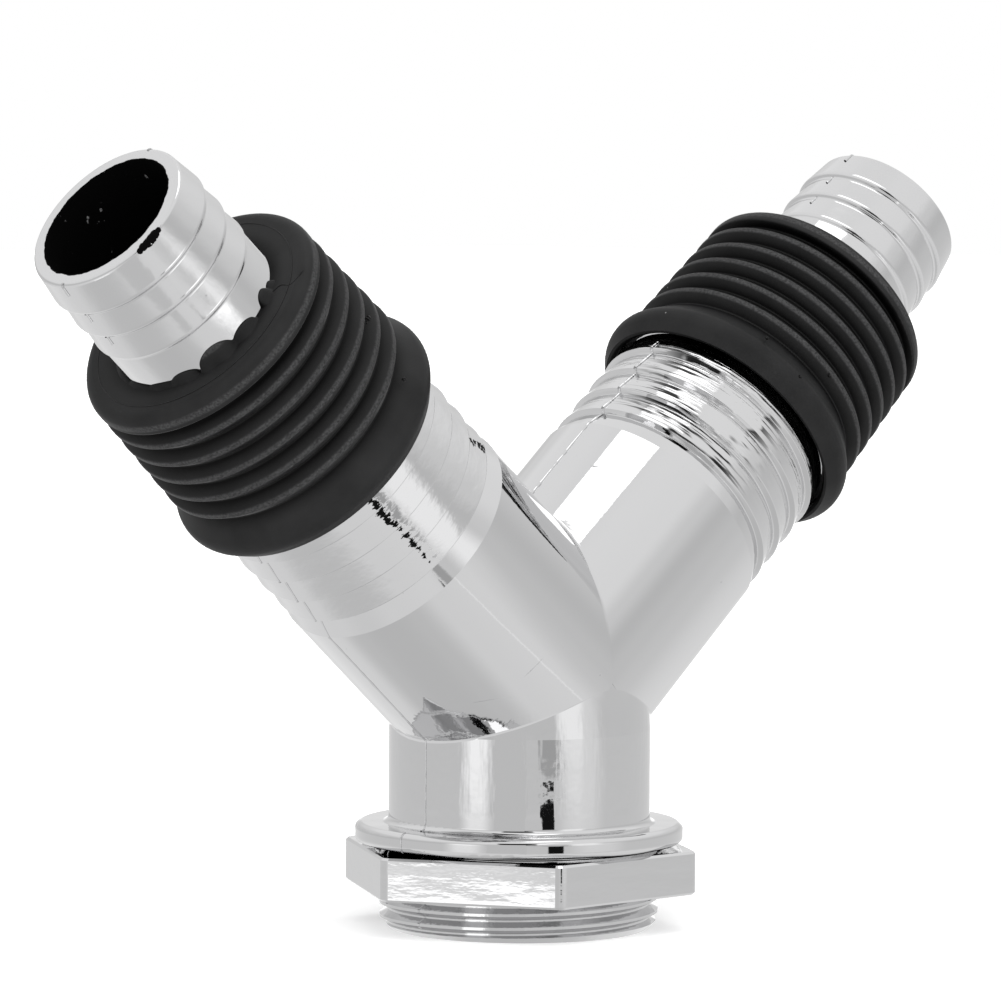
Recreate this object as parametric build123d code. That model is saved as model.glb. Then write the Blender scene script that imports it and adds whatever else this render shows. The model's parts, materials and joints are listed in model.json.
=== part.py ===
from build123d import *
import math
import os

# Y connector for drain hoses: a plated Y moulding with a threaded foot and a lock nut,
# and on each branch a ribbed rubber boot that holds a barbed hose tail.
# Millimetres. The foot stands on z = 0, the stem runs up +Z, the branches lean to -X and +X.

# Stem and its pipe thread
stem_od = 44.8
stem_wall = 2.6
thread_od = 47.8
thread_pitch = 2.309
thread_length = 14.7
thread_flank_angle = 27.5
thread_crest_share = 0.2
thread_root_sink = 0.5
thread_trim = 1.0
foot_chamfer = 1.7
foot_inset = 0.25
junction_height = 43.2
stem_blend = 9.0
blend_inset = 0.1

# Flange above the thread, a little wider than the nut
flange_overhang = 0.8
flange_thickness = 3.4
flange_edge_radius = 1.1
flange_root_radius = 1.0

# Branches and the barbs near their ends
branch_angle = 50.0
branch_od = 44.0
branch_wall = 2.6
branch_shank = 40.0
crotch_radius = 1.0
junction_radius = 0.6
collar_length = 4.2
barb_od = 43.5
barb_depth = 0.9
barb_pitch = 5.27
barb_step = 0.55
barb_count = 5
barb_lead = 4.4
barb_crest_radius = 0.15
barb_root_radius = 0.2

# Lock nut
nut_wall = 3.32
nut_height = 7.4
nut_corner_radius = 2.0
nut_edge_chamfer = 0.4
nut_bore_chamfer = 0.7
nut_clearance = 0.08
nut_gap = 0.6
nut_turn = -2.0

# Rubber boots
boot_grip = 6.4
boot_clearance = 0.1
boot_lip = 0.6
boot_mouth_od = 45.9
boot_band_od = 49.4
boot_band_start = 2.4
boot_band_length = 1.8
boot_band_radius = 2.6
boot_rib_count = 5
boot_rib_start = 10.8
boot_rib_pitch = 4.3
boot_rib_crest = 0.9
boot_rib_depth = 1.7
boot_low_rib_od = 46.4
boot_high_rib_od = 44.9
boot_head_start = 3.0
boot_head_length = 3.2
boot_head_radius = 2.2
boot_crest_radius = 0.45
boot_groove_radius = 0.35
boot_wall = 2.7
boot_neck_length = 11.2
boot_neck_taper = 3.0

# Hose tails
tail_od = 29.2
tail_bore = 23.8
tail_reach = 24.5
tail_insert = 14.0
tail_mouth_od = 28.3
tail_barb_od = 30.1
tail_barb_root_od = 28.7
tail_barb_count = 3
tail_barb_pitch = 5.6
tail_barb_step = 0.6
tail_crest_radius = 0.9
tail_root_radius = 0.6
tail_mouth_radius = 0.6
tail_clearance = 0.06

# Turns about Z that keep the seam lines of the round solids away from each other
core_seam = 73.0
trim_seam = 141.0
stem_seam = 26.0
bore_seam = 200.0
same_place = 0.01

# Places that follow from the sizes
stem_radius = stem_od / 2
thread_radius = thread_od / 2
nut_across_flats = thread_od + 2 * (nut_clearance + nut_wall)
flange_radius = nut_across_flats / 2 + flange_overhang
flange_top = thread_length + flange_thickness
stem_bore_radius = stem_radius - stem_wall
branch_bore_radius = branch_od / 2 - branch_wall
barb_radius = barb_od / 2
barb_floor_radius = barb_radius - barb_depth
first_barb = branch_shank + collar_length
branch_end = first_barb + (barb_count - 1) * barb_pitch + barb_lead
boot_rib_span = (boot_rib_count - 1) * boot_rib_pitch
boot_head = boot_rib_start + boot_rib_span + boot_head_start
boot_length = boot_head + boot_head_length
boot_mouth = branch_end - boot_grip
boot_top = boot_mouth + boot_length
tail_start = boot_top - tail_insert
tail_length = tail_insert + tail_reach


def turned(outline):
    """Solid of revolution about Z from a closed outline of (radius, height) points."""
    with BuildPart() as part:
        with BuildSketch(Plane.XZ):
            with BuildLine():
                Polyline(outline, close=True)
            make_face()
        revolve(axis=Axis.Z)
    return part.part


def turned_sketch(outline, roundings):
    """Solid of revolution about Z from a closed (radius, height) outline with rounded corners."""
    with BuildSketch() as sketch:
        with BuildLine():
            Polyline(outline, close=True)
        make_face()
        for points, radius in roundings:
            corners = sketch.vertices().filter_by(
                lambda vertex: min(math.dist((vertex.X, vertex.Y), point) for point in points) < same_place
            )
            fillet(corners, radius)
    return revolve(Plane.XZ * sketch.sketch, axis=Axis.Z)


def on_branch(shape, side):
    """Stand a shape that was drawn along Z on the left (-1) or right (+1) branch axis."""
    return Pos(0, 0, junction_height) * Rot(0, side * branch_angle, 0) * shape


def thread_ridge():
    """Right-hand helical ridge, sunk into the core and running from below the foot into the flange."""
    height = thread_radius - stem_radius
    half_crest = thread_crest_share * thread_pitch / 2
    half_base = half_crest + math.tan(math.radians(thread_flank_angle)) * (height + thread_root_sink)
    helix = Helix(
        pitch=thread_pitch,
        height=thread_length + thread_pitch,
        radius=stem_radius,
        center=(0, 0, -thread_pitch / 2),
    )
    with BuildSketch(Plane(origin=helix @ 0, x_dir=(1, 0, 0), z_dir=helix % 0)) as profile:
        with BuildLine():
            Polyline(
                (-thread_root_sink, -half_base),
                (height, -half_crest),
                (height, half_crest),
                (-thread_root_sink, half_base),
                close=True,
            )
        make_face()
    return sweep(profile.sketch, path=helix, is_frenet=True)


def threaded_foot():
    """Threaded lower stem, cut to a cone at the foot where the nut is started."""
    core = Rot(0, 0, core_seam) * Pos(0, 0, -thread_pitch) * Cylinder(
        stem_radius, flange_top + thread_pitch, align=(Align.CENTER, Align.CENTER, Align.MIN)
    )
    cone_slope = foot_chamfer / (thread_radius - stem_radius + foot_inset)
    trim = Rot(0, 0, trim_seam) * turned([
        (0, 0),
        (stem_radius - foot_inset, 0),
        (thread_radius + thread_trim, foot_chamfer + thread_trim * cone_slope),
        (thread_radius + thread_trim, flange_top),
        (0, flange_top),
    ])
    return (core + thread_ridge()) & trim


def stem_outside():
    """Threaded foot, round flange and the plain stem up to the junction."""
    stem = Rot(0, 0, stem_seam) * turned([
        (0, thread_length),
        (stem_radius, thread_length),
        (stem_radius, junction_height - stem_blend),
        (branch_od / 2 - blend_inset, junction_height),
        (0, junction_height),
    ])
    flange = Pos(0, 0, thread_length) * Cylinder(
        flange_radius, flange_thickness, align=(Align.CENTER, Align.CENTER, Align.MIN)
    )
    flange = fillet(flange.edges().filter_by(GeomType.CIRCLE), flange_edge_radius)
    collar = stem + flange
    root = collar.edges().filter_by(GeomType.CIRCLE).filter_by(
        lambda edge: abs(edge.radius - stem_radius) < same_place
        and abs(edge.center().Z - flange_top) < same_place
    )
    return threaded_foot() + fillet(root, flange_root_radius)


def branch_outside():
    """One branch along Z: plain shank, short collar and saw-tooth barbs that fall towards the mouth."""
    outline = [(0, 0), (branch_od / 2, 0), (branch_od / 2, branch_shank)]
    crests = []
    roots = []
    for i in range(barb_count):
        crest = first_barb + i * barb_pitch
        roots.append((barb_floor_radius, crest - barb_step))
        crests.append((barb_radius, crest))
        outline += [roots[-1], crests[-1]]
    outline += [(barb_floor_radius, branch_end), (0, branch_end)]
    return turned_sketch(outline, [(crests, barb_crest_radius), (roots, barb_root_radius)])


def y_body():
    """The plated Y moulding in one piece, hollow from the foot to both branch ends."""
    body = stem_outside() + on_branch(branch_outside(), -1) + on_branch(branch_outside(), 1)
    crotch = body.edges().filter_by(GeomType.ELLIPSE).sort_by(Edge.length)[-2:]
    body = fillet(crotch, crotch_radius)
    junction = body.edges().filter_by(GeomType.BSPLINE).filter_by_position(
        Axis.Z, flange_top + flange_root_radius, junction_height
    )
    body = fillet(junction, junction_radius)
    stem_bore = Rot(0, 0, bore_seam) * Cylinder(stem_bore_radius, 2 * junction_height)
    branch_bore = Cylinder(
        branch_bore_radius, 2 * branch_end, align=(Align.CENTER, Align.CENTER, Align.MIN)
    )
    return body - stem_bore - on_branch(branch_bore, -1) - on_branch(branch_bore, 1)


def lock_nut():
    """Hexagon nut just under the flange, with its corners on the branch plane."""
    with BuildPart() as nut:
        with BuildSketch():
            RegularPolygon(nut_across_flats / 2, 6, major_radius=False)
        extrude(amount=nut_height)
        fillet(nut.edges().filter_by(Axis.Z), nut_corner_radius)
        chamfer(nut.faces().sort_by(Axis.Z)[0].edges(), nut_edge_chamfer)
        chamfer(nut.faces().sort_by(Axis.Z)[-1].edges(), nut_edge_chamfer)
        Hole(thread_radius + nut_clearance)
        rims = nut.edges().filter_by(GeomType.CIRCLE).filter_by(
            lambda edge: abs(edge.radius - thread_radius - nut_clearance) < same_place
        )
        chamfer(rims, nut_bore_chamfer)
    return Pos(0, 0, thread_length - nut_gap - nut_height) * Rot(0, 0, nut_turn) * nut.part


def rib_radius(height):
    """Crest radius of the boot at a height above its mouth: the ribs taper evenly to the top."""
    share = (height - boot_rib_start) / boot_rib_span
    return (boot_low_rib_od + (boot_high_rib_od - boot_low_rib_od) * share) / 2


def boot():
    """Rubber boot along Z from its mouth: wide band, ribs, rounded head, socket, chamber and neck."""
    socket_radius = barb_radius + boot_clearance
    neck_radius = tail_od / 2 + tail_clearance
    band_radius = boot_band_od / 2
    crests = []
    grooves = []
    outside = [
        (boot_mouth_od / 2, 0),
        (band_radius, boot_band_start),
        (band_radius, boot_band_start + boot_band_length),
    ]
    for i in range(boot_rib_count):
        crest = boot_rib_start + i * boot_rib_pitch
        groove = crest - boot_rib_pitch / 2
        grooves.append((rib_radius(groove) - boot_rib_depth, groove))
        crests.append((rib_radius(crest), crest - boot_rib_crest / 2))
        crests.append((rib_radius(crest), crest + boot_rib_crest / 2))
        outside += [grooves[-1], crests[-2], crests[-1]]
    head_radius = rib_radius(boot_head)
    grooves.append((head_radius - boot_rib_depth, crests[-1][1] + boot_rib_pitch / 2 - boot_rib_crest / 2))
    crests.append((head_radius, boot_head))
    outside += [grooves[-1], crests[-1], (head_radius, boot_length)]
    chamber_radius = rib_radius(boot_rib_start) - boot_rib_depth - boot_wall
    neck_start = boot_length - boot_neck_length
    inside = [
        (neck_radius, boot_length),
        (neck_radius, neck_start),
        (chamber_radius, neck_start - boot_neck_taper),
        (chamber_radius, boot_grip + boot_clearance),
        (socket_radius, boot_grip + boot_clearance),
        (socket_radius, boot_lip),
        (socket_radius + boot_lip, 0),
    ]
    return turned_sketch(outside + inside, [
        (crests, boot_crest_radius),
        (grooves, boot_groove_radius),
        ([(head_radius, boot_length)], boot_head_radius),
        (outside[1:3], boot_band_radius),
    ])


def hose_tail():
    """Barbed tube along Z from its inner end: plain tube, rounded barbs and a round mouth."""
    crests = []
    roots = []
    outside = [(tail_od / 2, 0)]
    for i in reversed(range(tail_barb_count)):
        crest = tail_length - (i + 1) * tail_barb_pitch - tail_barb_step
        root_od = tail_od if i == tail_barb_count - 1 else tail_barb_root_od
        roots.append((root_od / 2, crest - tail_barb_step))
        crests.append((tail_barb_od / 2, crest))
        outside += [roots[-1], crests[-1]]
    rim = (tail_mouth_od / 2, tail_length)
    outside += [rim, (tail_bore / 2, tail_length), (tail_bore / 2, 0)]
    return turned_sketch(outside, [
        (crests, tail_crest_radius),
        (roots, tail_root_radius),
        ([rim], tail_mouth_radius),
    ])


def main():
    boot_along_z = Pos(0, 0, boot_mouth) * boot()
    tail_along_z = Pos(0, 0, tail_start) * hose_tail()
    nodes = {
        "y_body": y_body(),
        "lock_nut": lock_nut(),
        "left_boot": on_branch(boot_along_z, -1),
        "right_boot": on_branch(boot_along_z, 1),
        "left_hose_tail": on_branch(tail_along_z, -1),
        "right_hose_tail": on_branch(tail_along_z, 1),
    }
    os.makedirs("parts", exist_ok=True)
    for name, shape in nodes.items():
        export_step(shape, f"parts/{name}.step")


main()
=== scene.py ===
import json
import math
from collections import namedtuple

import bmesh
import bpy
from mathutils import Matrix, Quaternion, Vector, noise


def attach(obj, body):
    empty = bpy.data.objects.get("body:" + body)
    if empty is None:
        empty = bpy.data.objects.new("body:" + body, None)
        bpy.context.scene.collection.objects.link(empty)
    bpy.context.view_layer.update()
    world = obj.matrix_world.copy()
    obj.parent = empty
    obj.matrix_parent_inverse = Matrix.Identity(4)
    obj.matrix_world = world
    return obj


MM = 0.001
WHITE = (1, 1, 1, 1)

# Camera, at the photograph's viewing angle
CAMERA_AZIMUTH = math.radians(-44.88)
CAMERA_ELEVATION = math.radians(3.42)
CAMERA_ROLL = math.radians(0.32)
CAMERA_DISTANCE = 0.9426
CAMERA_LENS = 198.58
CAMERA_SENSOR = 36.0
CAMERA_CLIP = (0.01, 50)
AIM_HEIGHT = 0.073
AIM_RIGHT = -0.0035

# Light tent: how bright it is at each height above the horizon, in degrees
TENT_TONES = (
    (-90, 0.70), (-68, 0.74), (-50, 0.93), (-24, 0.97), (-12, 0.82), (-3, 0.77), (8, 0.71),
    (20, 0.86), (32, 1.02), (60, 1.04), (90, 1.0),
)
# Soft key light: its tone by the cosine of the angle from where it comes
KEY_FROM = (-0.4, -0.55, 0.73)
KEY_TONES = ((-1.0, 0.02), (-0.35, 0.05), (0.25, 0.42), (0.75, 1.7), (1.0, 3.2))
BACKDROP_TONE = 1.0
FLOOR_SIZE = 12
FLOOR_TONE = 0.9
FLOOR_ROUGHNESS = 0.9
FLOOR_GLOW = 0.3

# Thin mould lines on the plated pieces: the tails show theirs in the grooves of their barbs only
FLASH_RADIUS = 0.2 * MM
FLASH_STEP = 0.35 * MM
FLASH_WANDER = 0.04 * MM
# Two noises, of these sizes, make their thickness wander about its mean
FLASH_DRIFT = 2.2 * MM
FLASH_SWELL = 1.6 * MM
FLASH_MEAN = 0.85
FLASH_DRIFT_SHARE = 0.25
FLASH_SWELL_SHARE = 0.3
RIGHT_LINE_WIDTH = 1.7
TAIL_LINE_WIDTH = 1.3
LINE_END = 1.8 * MM
GROOVE_RADIUS = 14.55 * MM
SAME_PLACE = 0.001 * MM

# Scratches and nicks in the plating: start, middle, end and thickness, in millimetres
SCRATCHES = (
    ((-15.5, -21.2, 48.6), (-17.1, -20.3, 46.8), (-18.7, -19.2, 45.0), 0.05),
    ((-18.6, -17.7, 41.9), (-23.3, -14.9, 41.7), (-26.2, -10.8, 40.2), 0.04),
    ((9.6, -6.9, 79.4), (10.1, -7.3, 78.7), (11.2, -7.9, 78.4), 0.14),
)
SCRATCH_POINTS = 25
SCRATCH_TAPER = 0.5
SCRATCH_UNEVEN = 0.5

# Raised mould circle on the end face of a boot
RING_RADIUS = 19.0 * MM
RING_THICKNESS = 0.09 * MM
RING_SWELL = 5 * MM
RING_UNEVEN = 0.35
RING_POINTS = 120

# Torn lip of the left boot. Its profile goes up along the tail, over the edge and down again. A row
# is what it takes of the edge's thickness and the flare for the radius, and of the height, with
# None at the root
LIP_GAP = 0.04 * MM
LIP_FLARE = 1.3 * MM
LIP_FLARE_LOWEST = 0.6
LIP_UNEVEN = 0.4
LIP_EDGE = 0.42 * MM
LIP_ROOT = 0.3 * MM
LIP_STEP = 1.0
LIP_WAVES = 0.12
LIP_ROUNDNESS = 0.6
LIP_PROFILE = (
    (0, 0, None), (0, 0, 0.6), (0.15, 0, 1), (1, 0, 0.97), (1, 0.22, 0.5), (1, 0.6, 0.1),
    (1, 1, None),
)
# Its lobes: middle and half width in degrees, height in millimetres
LIP_LOBES = (
    (-76, 14, 0.7), (-60, 11, 1.5), (-35, 14, 2.8), (-12, 11, 1.7), (14, 7, 1.9), (24, 5, 0.8),
    (-98, 12, 0.5), (-124, 16, 0.35),
)

# Seam beside the lip: radius and angle where it starts, and what its other end adds to them
NICK_START = (15.6 * MM, 17)
NICK_WAY = (5.8 * MM, 9)
NICK_SWING = 2.5
NICK_TURNS = 7
NICK_THICKNESS = 0.12 * MM
NICK_POINTS = 24
NICK_UNEVEN = 0.3

# Lumps on the boots: side, place along the axis, radius, angle and size, in mm and degrees
LUMPS = (
    ("left", 79.6, 21.6, 39.8, 0.7),
    ("left", 71.5, 24.0, 20.2, 0.35),
    ("left", 80.3, 21.4, 36.5, 0.5),
    ("right", 73.5, 23.0, -11.5, 0.3),
    ("right", 67.5, 24.6, -22.6, 0.25),
    ("right", 69.2, 24.5, -43, 0.3),
)
LUMP_UNEVEN = 0.45
LUMP_GRAIN = 1.7
LUMP_DETAIL = 4

# Noise: its scale, one for each axis where it is stretched, its detail, and in millimetres the
# depth of its bumps, or how far it moves an edge
Waves = namedtuple("Waves", "scale detail depth", defaults=(0,))
# Scattered spots: scale of their cells, share of the cells that hold one, its size, depth as above
Spots = namedtuple("Spots", "scale share size depth", defaults=(0,))
SPOT_CORE = 0.6

# Plating, on every plated piece
CHROME = (0.635, 0.635, 0.64, 1)
PIT_TINT = (0.5, 0.5, 0.505, 1)
CHROME_ROUGHNESS = 0.03
CHROME_SWELL = Waves(75, 2, 0.03)
CHROME_GRAIN = Waves(1500, 3, 0.003)
PITS = Spots(330, 0.06, 0.07, -0.03)

# Body: bumps of each zone, and from where to where the zones fade in
RINGS = Waves((1700, 60, 60), 3, 0.1)
DENTS = Waves((330, 190, 190), 3, 0.11)
STREAKS = Waves((330, 330, 60), 3, 0.1)
STEM_SWELL = Waves(260, 2, 0.05)
THREAD_GRAIN = Waves(480, 3, 0.05)
BARBS_FADE = (43.9 * MM, 44.4 * MM)
RIGHT_FADE = (0, 10 * MM)
STEM_TOP_FADE = (42 * MM, 35 * MM)
STEM_FOOT_FADE = (20.5 * MM, 22 * MM)
THREAD_FADE = (13 * MM, 12 * MM)
# Painted dark reflections: dark lines drawn round the upper front of the right barbs
DARK_REFLECTION_COLOUR = (0.02, 0.02, 0.02, 1)
DARK_REFLECTION_PATCHES = Waves((150, 90, 90), 2)
DARK_REFLECTION_FADE = (0.51, 0.545)
PATCH_FADE = (0.42, 0.48)
UPPER_FADE = (1 * MM, 9 * MM)
FRONT_FADE = (1 * MM, -9 * MM)

# Nut
NUT_RIPPLES = Waves((80, 80, 330), 4, 0.07)
NUT_GRAIN = Waves(420, 2, 0.012)

# Tails: the black moulding shows in the bore, as far as a ragged edge, and in a patch of spots
# on the left tail's rim, given by their angles and sizes in millimetres
TAIL_ROUGHNESS = 0.1
TAIL_SWELL = Waves((110, 230, 230), 3, 0.09)
BARE_BLACK = (0.0012, 0.0012, 0.0012, 1)
BARE_ROUGHNESS = 0.75
BARE_SPECULAR = 0.05
BORE_FADE = (12.45 * MM, 12.38 * MM)
BORE_EDGE = Waves(600, 3, 0.7)
FLECKS = Spots(700, 0.03, 0.07)
FLECK_COLOUR = (0.5, 0.5, 0.5, 1)
PATCH_SPOTS = ((-27, 0.5), (-23.5, 0.75), (-20, 0.9), (-16.5, 0.9), (-13, 0.8), (-9.5, 0.55))
PATCH_DEPTH = 0.35 * MM
PATCH_RADIUS = 14.15 * MM
PATCH_EDGE = Waves(900, 2, 0.9)
SPOT_FADE = (0.5, 0.42)

# Rubber
RUBBER_DARK = (0.009, 0.009, 0.0092, 1)
RUBBER_PALE = (0.023, 0.023, 0.0233, 1)
# Painted highlight: paler colour along the rib crests
RUBBER_CREST_SHEEN = (0.048, 0.048, 0.0487, 1)
RUBBER_SPECULAR = 0.07
RUBBER_ROUGHNESS = (0.36, 0.56)
RUBBER_BLOOM = Waves(140, 4)
RUBBER_SWELL = Waves(160, 2, 0.05)
RUBBER_GRAIN = Waves(2600, 3, 0.012)
DUST = Spots(260, 0.12, 0.045, 0.04)
DUST_COLOUR = (0.2, 0.2, 0.2, 1)
# Painted shade: ambient occlusion over this distance darkens the rubber's colour in the grooves,
# fading between these values
GROOVE_SHADE = 3.5 * MM
SHADE_FADE = (0.6, 0.95)
# Bellows: crest of the first rib, from the boot's mouth, and half the width of the painted
# highlight on a crest
RIB_START = 10.8 * MM
RIB_PITCH = 4.3 * MM
RIB_CREST = 0.75 * MM
SPECKLE_FADE = (0.2, 0.75)


def branch(side):
    """Where a branch's axis leaves the stem's axis, and its direction, from the hose bore."""
    mount = next(m for m in frame["record"]["mounts"] if m["name"] == f"{side}_hose_bore")
    way = Vector(mount["axis"]).normalized()
    place = Vector(mount["pos_m"])
    return place - way * (place.x / way.x), way


def reach(node, start, way):
    """Lowest and highest place of a node along an axis."""
    places = [(v.co - start).dot(way) for v in frame["nodes"][node].data.vertices]
    return min(places), max(places)


def boot_face(side):
    """Place of a boot's end face along its branch."""
    return max(reach(f"{side}_boot", *branches[side]))


def nearest(point, start, way):
    """Nearest point of a half axis, which begins at start."""
    return start + way * max(0, (point - start).dot(way))


def on_branch(side, along, radius, degrees):
    """Point at a height along a branch, a distance from its axis and an angle round it.

    Angle 0 faces -Y, and -90 lies in the plane of the branches on the outer, lower side of the
    left branch and on the inner, upper side of the right one.
    """
    start, way = branches[side]
    front = Vector((0, -1, 0))
    turn = way.cross(front)
    a = math.radians(degrees)
    return start + way * along + (front * math.cos(a) + turn * math.sin(a)) * radius


def on_skin(place):
    """Nearest point of the plated body's surface."""
    found, spot, _, _ = frame["nodes"]["y_body"].closest_point_on_mesh(place)
    return spot if found else place


class Tree:
    """Shader nodes of a material or world: each call makes one and links it."""

    def __init__(self, owner):
        owner.use_nodes = True
        self.nodes = owner.node_tree.nodes
        self.links = owner.node_tree.links

    def feed(self, target, value):
        """Give an input a plain value, or link it to another node's output."""
        if isinstance(value, bpy.types.NodeSocket):
            self.links.new(value, target)
        else:
            target.default_value = value

    def fill(self, node, values):
        """Feed inputs of a node by their names."""
        for name, value in values.items():
            self.feed(node.inputs[name], value)

    def add(self, kind, *values, **named):
        """New node, with settings and inputs by name, and values for its first inputs in order."""
        node = self.nodes.new("ShaderNode" + kind)
        for name, value in named.items():
            if name in node.inputs:
                self.feed(node.inputs[name], value)
            else:
                setattr(node, name, value)
        for target, value in zip(node.inputs, values):
            self.feed(target, value)
        return node

    def math(self, operation, *values):
        return self.add("Math", *values, operation=operation).outputs[0]

    def vector(self, operation, *values, result="Vector"):
        return self.add("VectorMath", *values, operation=operation).outputs[result]

    def split(self, vector):
        return self.add("SeparateXYZ", vector).outputs

    def mix(self, share, first, second, **settings):
        """Colour that goes from the first to the second as the share goes from 0 to 1."""
        node = self.add("Mix", data_type="RGBA", Factor=share, A=first, B=second, **settings)
        return node.outputs["Result"]

    def between(self, value, *ends):
        """Value moved from one range to another: low, high, and the new low and high."""
        return self.add("MapRange", value, *ends).outputs["Result"]

    def beyond(self, value, low, high):
        """1 where a value is past high, 0 before low, and soft between them."""
        step = self.add("MapRange", value, low, high, interpolation_type="SMOOTHSTEP")
        return step.outputs["Result"]

    def times(self, first, *others):
        """Product of several values."""
        for other in others:
            first = self.math("MULTIPLY", first, other)
        return first

    def masked(self, height, mask):
        """A height that swings about 0, and is kept only where the mask is 1."""
        return self.times(self.math("SUBTRACT", height, 0.5), mask)

    def waves(self, where, recipe):
        """Noise from 0 to 1, stretched where its recipe has a scale for each axis."""
        scale = recipe.scale
        if isinstance(scale, tuple):
            where = self.add("Mapping", Vector=where, Scale=scale).outputs[0]
            scale = 1
        return self.add("TexNoise", Vector=where, Scale=scale, Detail=recipe.detail).outputs["Fac"]

    def spots(self, where, recipe):
        """Mask that is 1 in the middle of scattered round spots."""
        cells = self.add("TexVoronoi", Vector=where, Scale=recipe.scale).outputs
        lot = self.add("SeparateColor", cells["Color"]).outputs[0]
        near = self.between(cells["Distance"], recipe.size, recipe.size * SPOT_CORE)
        return self.times(self.math("LESS_THAN", lot, recipe.share), near)

    def layer(self, where, recipe, mask=None):
        """Height and depth of a bump made of noise, kept only where the mask is 1 if it has one."""
        height = self.waves(where, recipe)
        return height if mask is None else self.masked(height, mask), recipe.depth

    def bumps(self, layers):
        """Normal of a chain of bumps, from pairs of a height and its depth in millimetres."""
        normal = None
        for height, depth in layers:
            bump = self.add("Bump", Strength=1, Distance=depth * MM, Height=height)
            if normal is not None:
                self.feed(bump.inputs["Normal"], normal)
            normal = bump.outputs["Normal"]
        return normal


def add_camera():
    """Camera on a sphere round the part, turned and rolled as in the photograph."""
    a, e = CAMERA_AZIMUTH, CAMERA_ELEVATION
    back = Vector((math.sin(a) * math.cos(e), -math.cos(a) * math.cos(e), math.sin(e)))
    level = Vector((math.cos(a), math.sin(a), 0))
    up = back.cross(level)
    right = math.cos(CAMERA_ROLL) * level + math.sin(CAMERA_ROLL) * up
    rolled_up = back.cross(right)
    place = Vector((0, 0, AIM_HEIGHT)) + AIM_RIGHT * right + CAMERA_DISTANCE * back
    data = bpy.data.cameras.new("camera")
    data.lens = CAMERA_LENS
    data.sensor_width = CAMERA_SENSOR
    data.clip_start, data.clip_end = CAMERA_CLIP
    camera = bpy.data.objects.new("camera", data)
    turn = Matrix((right, rolled_up, back)).transposed().to_4x4()
    camera.matrix_world = Matrix.Translation(place) @ turn
    bpy.context.scene.collection.objects.link(camera)
    bpy.context.scene.camera = camera


def add_floor():
    """Plain pale floor that the part stands on. The plating mirrors the tent in its place."""
    bpy.ops.mesh.primitive_plane_add(size=FLOOR_SIZE)
    floor = bpy.context.object
    floor.name = "floor"
    material = bpy.data.materials.new("floor_paper")
    tree = Tree(material)
    tree.fill(tree.nodes["Principled BSDF"], {
        "Base Color": (FLOOR_TONE, FLOOR_TONE, FLOOR_TONE, 1),
        "Roughness": FLOOR_ROUGHNESS,
        "Specular IOR Level": 0,
        "Emission Color": WHITE,
        "Emission Strength": FLOOR_GLOW,
    })
    floor.data.materials.append(material)
    floor.visible_glossy = False


def add_tent():
    """Light tent: the plating mirrors its tones, the key light falls on matt things, and the
    camera sees plain white paper."""
    world = bpy.data.worlds.new("light_tent")
    bpy.context.scene.world = world
    tree = Tree(world)
    height_tones = [(math.sin(math.radians(height)), tone) for height, tone in TENT_TONES]
    tent = tree.nodes["Background"]
    tree.feed(tent.inputs["Color"], tones_towards(tree, (0, 0, 1), height_tones))
    key = tree.add("Background", tones_towards(tree, KEY_FROM, KEY_TONES))
    paper = tree.add("Background", WHITE, BACKDROP_TONE)
    ray = tree.add("LightPath").outputs
    lit = tree.add("MixShader", ray["Is Diffuse Ray"], tent.outputs[0], key.outputs[0])
    seen = tree.add("MixShader", ray["Is Camera Ray"], lit.outputs[0], paper.outputs[0])
    tree.feed(tree.nodes["World Output"].inputs["Surface"], seen.outputs[0])


def tones_towards(tree, way, tones):
    """Colour by the cosine of the angle between a ray of the world and a direction."""
    where = tree.add("TexCoord").outputs["Generated"]
    cosine = tree.vector("DOT_PRODUCT", where, Vector(way).normalized(), result="Value")
    ramp = tree.add("ValToRGB", tree.math("MULTIPLY_ADD", cosine, 0.5, 0.5))
    ramp.color_ramp.interpolation = "EASE"
    stops = ramp.color_ramp.elements
    while len(stops) < len(tones):
        stops.new(0.5)
    for stop, (share, tone) in zip(stops, tones):
        stop.position = (share + 1) / 2
        stop.color = (tone, tone, tone, 1)
    return ramp.outputs[0]


def soft_mask(tree, edge):
    """1 over a card, and fading to 0 over its borders, which are a share of its size wide."""
    x, y, _ = tree.split(tree.add("TexCoord").outputs["Generated"])
    from_middle = [tree.math("ABSOLUTE", tree.math("SUBTRACT", place, 0.5)) for place in (x, y)]
    return tree.times(*(tree.beyond(size, 0.5, 0.5 - edge) for size in from_middle))


def add_card(name, place, width, height, tone, edge, lights=False, aim=None, roll=0):
    """Card of the studio, in millimetres, turned to the part. Only reflections show it, and it
    lights matt things too where lights is set."""
    place = Vector(place) * MM
    target = Vector((0, 0, place.z)) if aim is None else Vector(aim) * MM
    turn = (place - target).normalized().to_track_quat("Z", "Y")
    bpy.ops.mesh.primitive_plane_add(size=1)
    card = bpy.context.object
    card.name = name
    card.location = place
    card.rotation_mode = "QUATERNION"
    card.rotation_quaternion = turn @ Quaternion((0, 0, 1), math.radians(roll))
    card.scale = (width * MM, height * MM, 1)
    material = bpy.data.materials.new(name)
    tree = Tree(material)
    tree.nodes.remove(tree.nodes["Principled BSDF"])
    clear = tree.add("BsdfTransparent").outputs[0]
    glow = tree.add("Emission", WHITE, tone).outputs[0]
    card_shader = tree.add("MixShader", soft_mask(tree, edge), clear, glow)
    tree.feed(tree.nodes["Material Output"].inputs["Surface"], card_shader.outputs[0])
    card.data.materials.append(material)
    card.visible_camera = False
    card.visible_shadow = False
    card.visible_diffuse = lights


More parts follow.
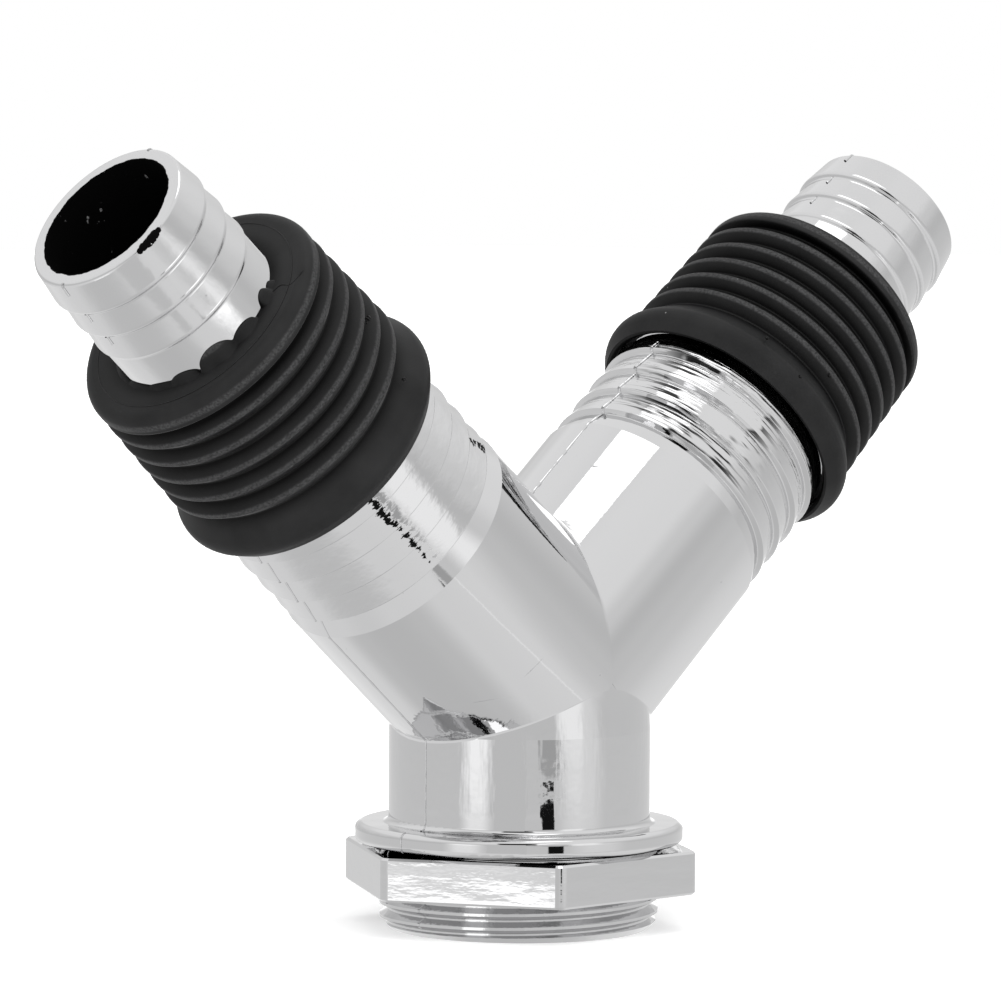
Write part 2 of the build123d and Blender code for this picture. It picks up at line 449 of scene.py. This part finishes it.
def add_cards():
    """Softbox above, reflectors round the part, and the dark things beside the camera."""
    add_card("softbox_above", (22, -36, 500), 191, 272, 2.4, 0.02, lights=True, aim=(22, -36, 0))
    add_card("reflector_front", (0, -222, 62), 124, 160, 1.24, 0.34, lights=True)
    add_card("reflector_wide", (45, -246, 18), 230, 130, 0.98, 0.4)
    add_card("reflector_near", (-54, -98, 78), 78, 34, 2.1, 0.35, aim=(-88, -15, 118), roll=50)
    add_card("reflector_side", (-206, -32, 22), 124, 100, 1.34, 0.4)
    add_card("reflector_low", (-190, -34, -24), 76, 30, 1.7, 0.2)
    add_card("backdrop_glow", (1450, 1300, -60), 900, 760, 1.3, 0.3)
    add_card("paper_edge", (75, -220, -67), 84, 4.5, 1.1, 0.2, roll=20)
    add_card("flag_side", (-148, -111, 22), 84, 116, 0.75, 0.01)
    add_card("camera_dark", (-420, -405, 330), 330, 420, 0.01, 0.12, aim=(0, 0, 60))
    add_card("stand_dark", (-68, -176, -2), 38, 18, 0.01, 0.1)
    add_card("stand_knob", (-66, -175.5, 18), 76, 20, 0.5, 0.25)


def add_piece(name, data, slot):
    """Put a mesh or curve on the fitting, with the material of a slot."""
    data.materials.append(paints[slot])
    piece = bpy.data.objects.new(name, data)
    bpy.context.scene.collection.objects.link(piece)
    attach(piece, "fitting")
    return piece


def rubber_piece(name, data):
    """Piece of a boot. The plating doesn't mirror those of the left boot, nor the boot itself."""
    piece = add_piece(name, data, "boot_rubber")
    piece.visible_glossy = not name.startswith("left")
    return piece


def wire(name, thickness, sides, runs, closed=False):
    """Round wire along runs of points, each a place and its share of the thickness."""
    curve = bpy.data.curves.new(name, "CURVE")
    curve.dimensions = "3D"
    curve.bevel_depth = thickness
    curve.bevel_resolution = sides
    for run in runs:
        spline = curve.splines.new("POLY")
        spline.points.add(len(run) - 1)
        spline.use_cyclic_u = closed
        for point, (place, share) in zip(spline.points, run):
            point.co = (*place, 1)
            point.radius = share
    return curve


def section(node, side_axes, keep):
    """Outer edges of a node where the plane y = 0 cuts it: pairs of points."""
    mesh = bmesh.new()
    mesh.from_mesh(frame["nodes"][node].data)
    parts = mesh.verts[:] + mesh.edges[:] + mesh.faces[:]
    cut = bmesh.ops.bisect_plane(
        mesh, geom=parts, plane_co=(0, 0, 0), plane_no=(0, 1, 0), dist=SAME_PLACE
    )
    pairs = []
    for edge in cut["geom_cut"]:
        if not isinstance(edge, bmesh.types.BMEdge):
            continue
        middle = (edge.verts[0].co + edge.verts[1].co) / 2
        normal = sum((face.normal for face in edge.link_faces), Vector())
        feet = (nearest(middle, start, way) for start, way in side_axes)
        foot = min(feet, key=lambda place: (middle - place).length)
        if normal.dot(middle - foot) > 0 and keep(middle):
            pairs.append((edge.verts[0].co.copy(), edge.verts[1].co.copy()))
    mesh.free()
    return pairs


def mould_line(name, pairs, slot, width=1):
    """Thin, uneven ridge of plated flash along the given edges."""
    runs = []
    for first, last in pairs:
        count = max(2, math.ceil((last - first).length / FLASH_STEP) + 1)
        run = []
        for i in range(count):
            place = first.lerp(last, i / (count - 1))
            drift = noise.noise(place / FLASH_DRIFT)
            place.y += FLASH_WANDER * drift
            swell = noise.noise(place / FLASH_SWELL)
            share = FLASH_MEAN + FLASH_SWELL_SHARE * swell + FLASH_DRIFT_SHARE * drift
            run.append((place, width * share))
        runs.append(run)
    add_piece(name, wire(name, FLASH_RADIUS, 2, runs), slot)


def add_mould_lines():
    """Parting lines of the plated mouldings, all in the plane of the two branches."""
    junction = branches["left"][0]
    axes = [(junction, Vector((0, 0, -1))), *branches.values()]
    boot_mouth = min(reach("left_boot", *branches["left"]))

    def shows(point):
        along = [(point - start).dot(way) for start, way in branches.values()]
        return point.z > LINE_END and max(along) < boot_mouth

    def on_right(pair):
        return pair[0].x > -SAME_PLACE and pair[0].z > junction.z

    pairs = section("y_body", axes, shows)
    light = [pair for pair in pairs if not on_right(pair)]
    heavy = [pair for pair in pairs if on_right(pair)]
    mould_line("body_mould_line", light, "plated_body")
    mould_line("crotch_mould_line", heavy, "plated_body", RIGHT_LINE_WIDTH)
    for side, (start, way) in branches.items():
        face = boot_face(side)

        def in_groove(point):
            radius = (point - nearest(point, start, way)).length
            return (point - start).dot(way) > face and radius < GROOVE_RADIUS

        pairs = section(f"{side}_hose_tail", [(start, way)], in_groove)
        mould_line(f"{side}_tail_mould_line", pairs, "plated_tail", TAIL_LINE_WIDTH)


def add_boot_ring(side):
    """Raised mould circle on a boot's end face."""
    face = boot_face(side)
    ring = []
    for i in range(RING_POINTS):
        place = on_branch(side, face, RING_RADIUS, i * 360 / RING_POINTS)
        ring.append((place, 1 + RING_UNEVEN * noise.noise(place / RING_SWELL)))
    name = f"{side}_boot_ring"
    rubber_piece(name, wire(name, RING_THICKNESS, 2, [ring], closed=True))


def lip_height(degrees):
    """Height of the left boot's torn lip at an angle round the tail: rounded lobes with cusps."""
    tallest = 0
    for middle, half_width, height in LIP_LOBES:
        share = (degrees - middle) / half_width
        if abs(share) < 1:
            tallest = max(tallest, height * (1 - share * share) ** LIP_ROUNDNESS)
    return tallest * MM


def add_torn_lip():
    """Thin skin of rubber that was left standing against the left tail, in uneven lobes."""
    start, way = branches["left"]
    face = boot_face("left")
    tail = max((v.co - nearest(v.co, start, way)).length
               for v in frame["nodes"]["left_hose_tail"].data.vertices
               if (v.co - start).dot(way) < face)
    low = min(middle - half_width for middle, half_width, _ in LIP_LOBES)
    high = max(middle + half_width for middle, half_width, _ in LIP_LOBES)
    tallest = max(height for _, _, height in LIP_LOBES) * MM
    steps = round((high - low) / LIP_STEP)
    verts = []
    for i in range(steps + 1):
        angle = low + (high - low) * i / steps
        height = lip_height(angle)
        wave = noise.noise(Vector((angle * LIP_WAVES, 3.1, 0)))
        flare = LIP_FLARE * (LIP_FLARE_LOWEST + height / tallest)
        flare *= 1 + LIP_UNEVEN * wave
        for edge_share, flare_share, rise in LIP_PROFILE:
            radius = tail + LIP_GAP + edge_share * LIP_EDGE + flare_share * flare
            along = -LIP_ROOT if rise is None else height * rise
            verts.append(on_branch("left", face + along, radius, angle))
    ring = len(LIP_PROFILE)
    corners = [i * ring + j for i in range(steps) for j in range(ring - 1)]
    faces = [(a, a + 1, a + ring + 1, a + ring) for a in corners]
    faces.append(tuple(range(ring)))
    faces.append(tuple(reversed(range(steps * ring, (steps + 1) * ring))))
    mesh = bpy.data.meshes.new("left_boot_lip")
    mesh.from_pydata(verts, [], faces)
    mesh.validate()
    mesh.polygons.foreach_set("use_smooth", [True] * len(mesh.polygons))
    smooth = rubber_piece("left_boot_lip", mesh).modifiers.new("round", "SUBSURF")
    smooth.levels = 2
    smooth.render_levels = 2


def add_nick():
    """Shallow seam across the left boot's end face, beside the nub of the lip."""
    face = boot_face("left")
    run = []
    for i in range(NICK_POINTS):
        share = i / (NICK_POINTS - 1)
        radius, angle = (start + way * share for start, way in zip(NICK_START, NICK_WAY))
        angle += NICK_SWING * math.sin(share * NICK_TURNS)
        thickness = 1.3 - share + NICK_UNEVEN * noise.noise(Vector((share * 9, 0, 0)))
        run.append((on_branch("left", face, radius, angle), thickness))
    rubber_piece("left_boot_nick", wire("left_boot_nick", NICK_THICKNESS, 4, [run]))


def add_lumps():
    """Small blemishes of the moulding on the boots: uneven blobs, mostly sunk into the rubber."""
    for number, (side, along, radius, angle, size) in enumerate(LUMPS):
        blob = bmesh.new()
        bmesh.ops.create_icosphere(blob, subdivisions=LUMP_DETAIL, radius=1)
        place = on_branch(side, along * MM, radius * MM, angle)
        for vertex in blob.verts:
            grain = noise.noise(vertex.co * LUMP_GRAIN + Vector((number, 0, 0)))
            vertex.co = place + vertex.co * (1 + LUMP_UNEVEN * grain) * size * MM
        mesh = bpy.data.meshes.new(f"blemish_{number}")
        blob.to_mesh(mesh)
        blob.free()
        mesh.polygons.foreach_set("use_smooth", [True] * len(mesh.polygons))
        rubber_piece(f"{side}_blemish_{number}", mesh)


def add_scratches():
    """Raised scratches in the plating of the branches, thin at both ends."""
    for number, (*places, thickness) in enumerate(SCRATCHES):
        first, middle, last = (Vector(place) * MM for place in places)
        run = []
        for i in range(SCRATCH_POINTS):
            share = i / (SCRATCH_POINTS - 1)
            place = first.lerp(middle, share).lerp(middle.lerp(last, share), share)
            taper = math.sin(math.pi * share) ** SCRATCH_TAPER
            swell = SCRATCH_UNEVEN * noise.noise(place / MM)
            run.append((on_skin(place), taper * (0.8 + swell)))
        name = f"scratch_{number}"
        add_piece(name, wire(name, thickness * MM, 4, [run]), "plated_body")


def branch_frame(tree, where):
    """Coordinates that are the same on both branches: along the branch, across it, and Y."""
    start, way = branches["right"]
    x, y, z = tree.split(where)
    folded = tree.add("CombineXYZ", tree.math("ABSOLUTE", x), y, z).outputs[0]
    place = tree.vector("SUBTRACT", folded, start)
    along = tree.vector("DOT_PRODUCT", place, way, result="Value")
    across = tree.vector("DOT_PRODUCT", place, Vector((-way.z, 0, way.x)), result="Value")
    return tree.add("CombineXYZ", along, across, y).outputs[0]


def plating(name):
    """Bright plated surface with pits: its material, nodes, shader, coordinates, bumps, colour."""
    material = bpy.data.materials.new(name)
    tree = Tree(material)
    shader = tree.nodes["Principled BSDF"]
    tree.fill(shader, {"Metallic": 1, "Roughness": CHROME_ROUGHNESS})
    where = tree.add("TexCoord").outputs["Object"]
    pits = tree.spots(where, PITS)
    layers = [
        tree.layer(where, CHROME_SWELL),
        tree.layer(where, CHROME_GRAIN),
        (pits, PITS.depth),
    ]
    return material, tree, shader, where, layers, tree.mix(pits, CHROME, PIT_TINT)


def body_plating():
    """Plated body: smooth branches, polished streaks on the stem, painted dark reflections on the
    right barbs.
    """
    material, tree, shader, where, layers, tint = plating("plated_body")
    in_branch = branch_frame(tree, where)
    along, across, y = tree.split(in_branch)
    x, _, z = tree.split(where)
    on_barbs = tree.beyond(along, *BARBS_FADE)
    right_barbs = tree.times(on_barbs, tree.beyond(x, *RIGHT_FADE))
    on_stem = tree.times(tree.beyond(z, *STEM_TOP_FADE), tree.beyond(z, *STEM_FOOT_FADE))
    on_thread = tree.beyond(z, *THREAD_FADE)
    rings = tree.waves(in_branch, RINGS)
    layers += [
        (tree.masked(rings, right_barbs), RINGS.depth),
        tree.layer(in_branch, DENTS, on_barbs),
        tree.layer(where, STREAKS, on_stem),
        tree.layer(where, STEM_SWELL, on_stem),
        tree.layer(where, THREAD_GRAIN, on_thread),
    ]
    # Painted dark reflections: dark lines in the colour of the right barbs' upper front, following
    # their rings
    dark_reflections = tree.times(
        tree.beyond(rings, *DARK_REFLECTION_FADE),
        tree.beyond(tree.waves(in_branch, DARK_REFLECTION_PATCHES), *PATCH_FADE),
        tree.beyond(across, *UPPER_FADE),
        tree.beyond(y, *FRONT_FADE),
        right_barbs,
    )
    with_dark_reflections = tree.mix(dark_reflections, tint, DARK_REFLECTION_COLOUR)
    tree.fill(shader, {"Base Color": with_dark_reflections, "Normal": tree.bumps(layers)})
    return material


def nut_plating():
    """Plated nut, cast less flat than the body: long shallow ripples across its faces."""
    material, tree, shader, where, layers, tint = plating("plated_nut")
    layers += [tree.layer(where, NUT_RIPPLES), tree.layer(where, NUT_GRAIN)]
    tree.fill(shader, {"Base Color": tint, "Normal": tree.bumps(layers)})
    return material


def tail_plating():
    """Plated tube: its bore and a bare patch on the left rim show the black moulding."""
    material, tree, shader, where, layers, tint = plating("plated_tail")
    in_branch = branch_frame(tree, where)
    across = tree.vector("MULTIPLY", in_branch, (0, 1, 1))
    radius = tree.vector("LENGTH", across, result="Value")
    ragged = tree.math("MULTIPLY_ADD", tree.waves(where, BORE_EDGE), BORE_EDGE.depth * MM, radius)
    bare = tree.beyond(ragged, *BORE_FADE)
    face = max(reach("left_hose_tail", *branches["left"]))
    for angle, size in PATCH_SPOTS:
        middle = on_branch("left", face - PATCH_DEPTH, PATCH_RADIUS, angle)
        away = tree.vector("DISTANCE", where, middle, result="Value")
        torn = tree.math("MULTIPLY_ADD", tree.waves(where, PATCH_EDGE), PATCH_EDGE.depth * MM, away)
        spot = tree.beyond(torn, *((size + fade) * MM for fade in SPOT_FADE))
        bare = tree.math("MAXIMUM", bare, spot)
    black = tree.mix(tree.spots(where, FLECKS), BARE_BLACK, FLECK_COLOUR)
    layers.append(tree.layer(in_branch, TAIL_SWELL))
    tree.fill(shader, {
        "Base Color": tree.mix(bare, tint, black),
        "Metallic": tree.math("SUBTRACT", 1, bare),
        "Roughness": tree.between(bare, 0, 1, TAIL_ROUGHNESS, BARE_ROUGHNESS),
        "Specular IOR Level": BARE_SPECULAR,
        "Normal": tree.bumps(layers),
    })
    return material


def rubber():
    """Satin black moulded rubber: fine grain, dust, painted shade in the grooves and a painted
    highlight on the rib crests.
    """
    material = bpy.data.materials.new("boot_rubber")
    tree = Tree(material)
    where = tree.add("TexCoord").outputs["Object"]
    bloom = tree.waves(where, RUBBER_BLOOM)
    grain = tree.waves(where, RUBBER_GRAIN)
    dust = tree.spots(where, DUST)
    black = tree.mix(bloom, RUBBER_DARK, RUBBER_PALE)
    # Painted highlight: the rib crests are paler
    with_crest_sheen = tree.mix(rib_crests(tree, where, grain), black, RUBBER_CREST_SHEEN)
    # Painted shade: the colour is darkened where ambient occlusion finds the grooves' walls
    open_air = tree.add("AmbientOcclusion", Distance=GROOVE_SHADE).outputs["AO"]
    shaded = tree.mix(1, with_crest_sheen, tree.between(open_air, *SHADE_FADE), blend_type="MULTIPLY")
    layers = [
        tree.layer(where, RUBBER_SWELL),
        (grain, RUBBER_GRAIN.depth),
        (dust, DUST.depth),
    ]
    tree.fill(tree.nodes["Principled BSDF"], {
        "Base Color": tree.mix(dust, shaded, DUST_COLOUR),
        "Roughness": tree.between(bloom, 0, 1, *RUBBER_ROUGHNESS),
        "Specular IOR Level": RUBBER_SPECULAR,
        "Normal": tree.bumps(layers),
    })
    return material


def rib_crests(tree, where, grain):
    """Mask of the painted highlight on the crests of the bellows, broken up by the rubber's grain.
    """
    first_crest = min(reach("right_boot", *branches["right"])) + RIB_START
    first_groove = first_crest - RIB_PITCH / 2
    along, _, _ = tree.split(branch_frame(tree, where))
    away = tree.math("PINGPONG", tree.math("SUBTRACT", along, first_crest), RIB_PITCH / 2)
    return tree.times(
        tree.beyond(away, RIB_CREST, RIB_CREST * 0.4),
        tree.beyond(along, first_groove, first_groove + RIB_CREST),
        tree.beyond(grain, *SPECKLE_FADE),
    )


def paint(node, slot):
    """Give a CAD node its material."""
    mesh = frame["nodes"][node].data
    for i in range(len(mesh.materials)):
        mesh.materials[i] = paints[slot]


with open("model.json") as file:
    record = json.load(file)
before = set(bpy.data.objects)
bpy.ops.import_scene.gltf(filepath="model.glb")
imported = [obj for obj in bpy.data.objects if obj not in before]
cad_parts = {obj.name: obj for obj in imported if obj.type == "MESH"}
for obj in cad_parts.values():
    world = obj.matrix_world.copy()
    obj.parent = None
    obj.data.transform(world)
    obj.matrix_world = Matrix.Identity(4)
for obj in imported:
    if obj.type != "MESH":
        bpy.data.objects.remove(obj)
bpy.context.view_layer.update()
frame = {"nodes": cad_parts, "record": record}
branches = {"left": branch("left"), "right": branch("right")}
paints = {
    "plated_body": body_plating(),
    "plated_nut": nut_plating(),
    "plated_tail": tail_plating(),
    "boot_rubber": rubber(),
}
paint("y_body", "plated_body")
paint("lock_nut", "plated_nut")
add_camera()
add_floor()
add_tent()
add_cards()
add_mould_lines()
for side in branches:
    paint(f"{side}_hose_tail", "plated_tail")
    paint(f"{side}_boot", "boot_rubber")
    add_boot_ring(side)
frame["nodes"]["left_boot"].visible_glossy = False
add_torn_lip()
add_nick()
add_lumps()
add_scratches()
bpy.context.scene.view_settings.view_transform = "Standard"
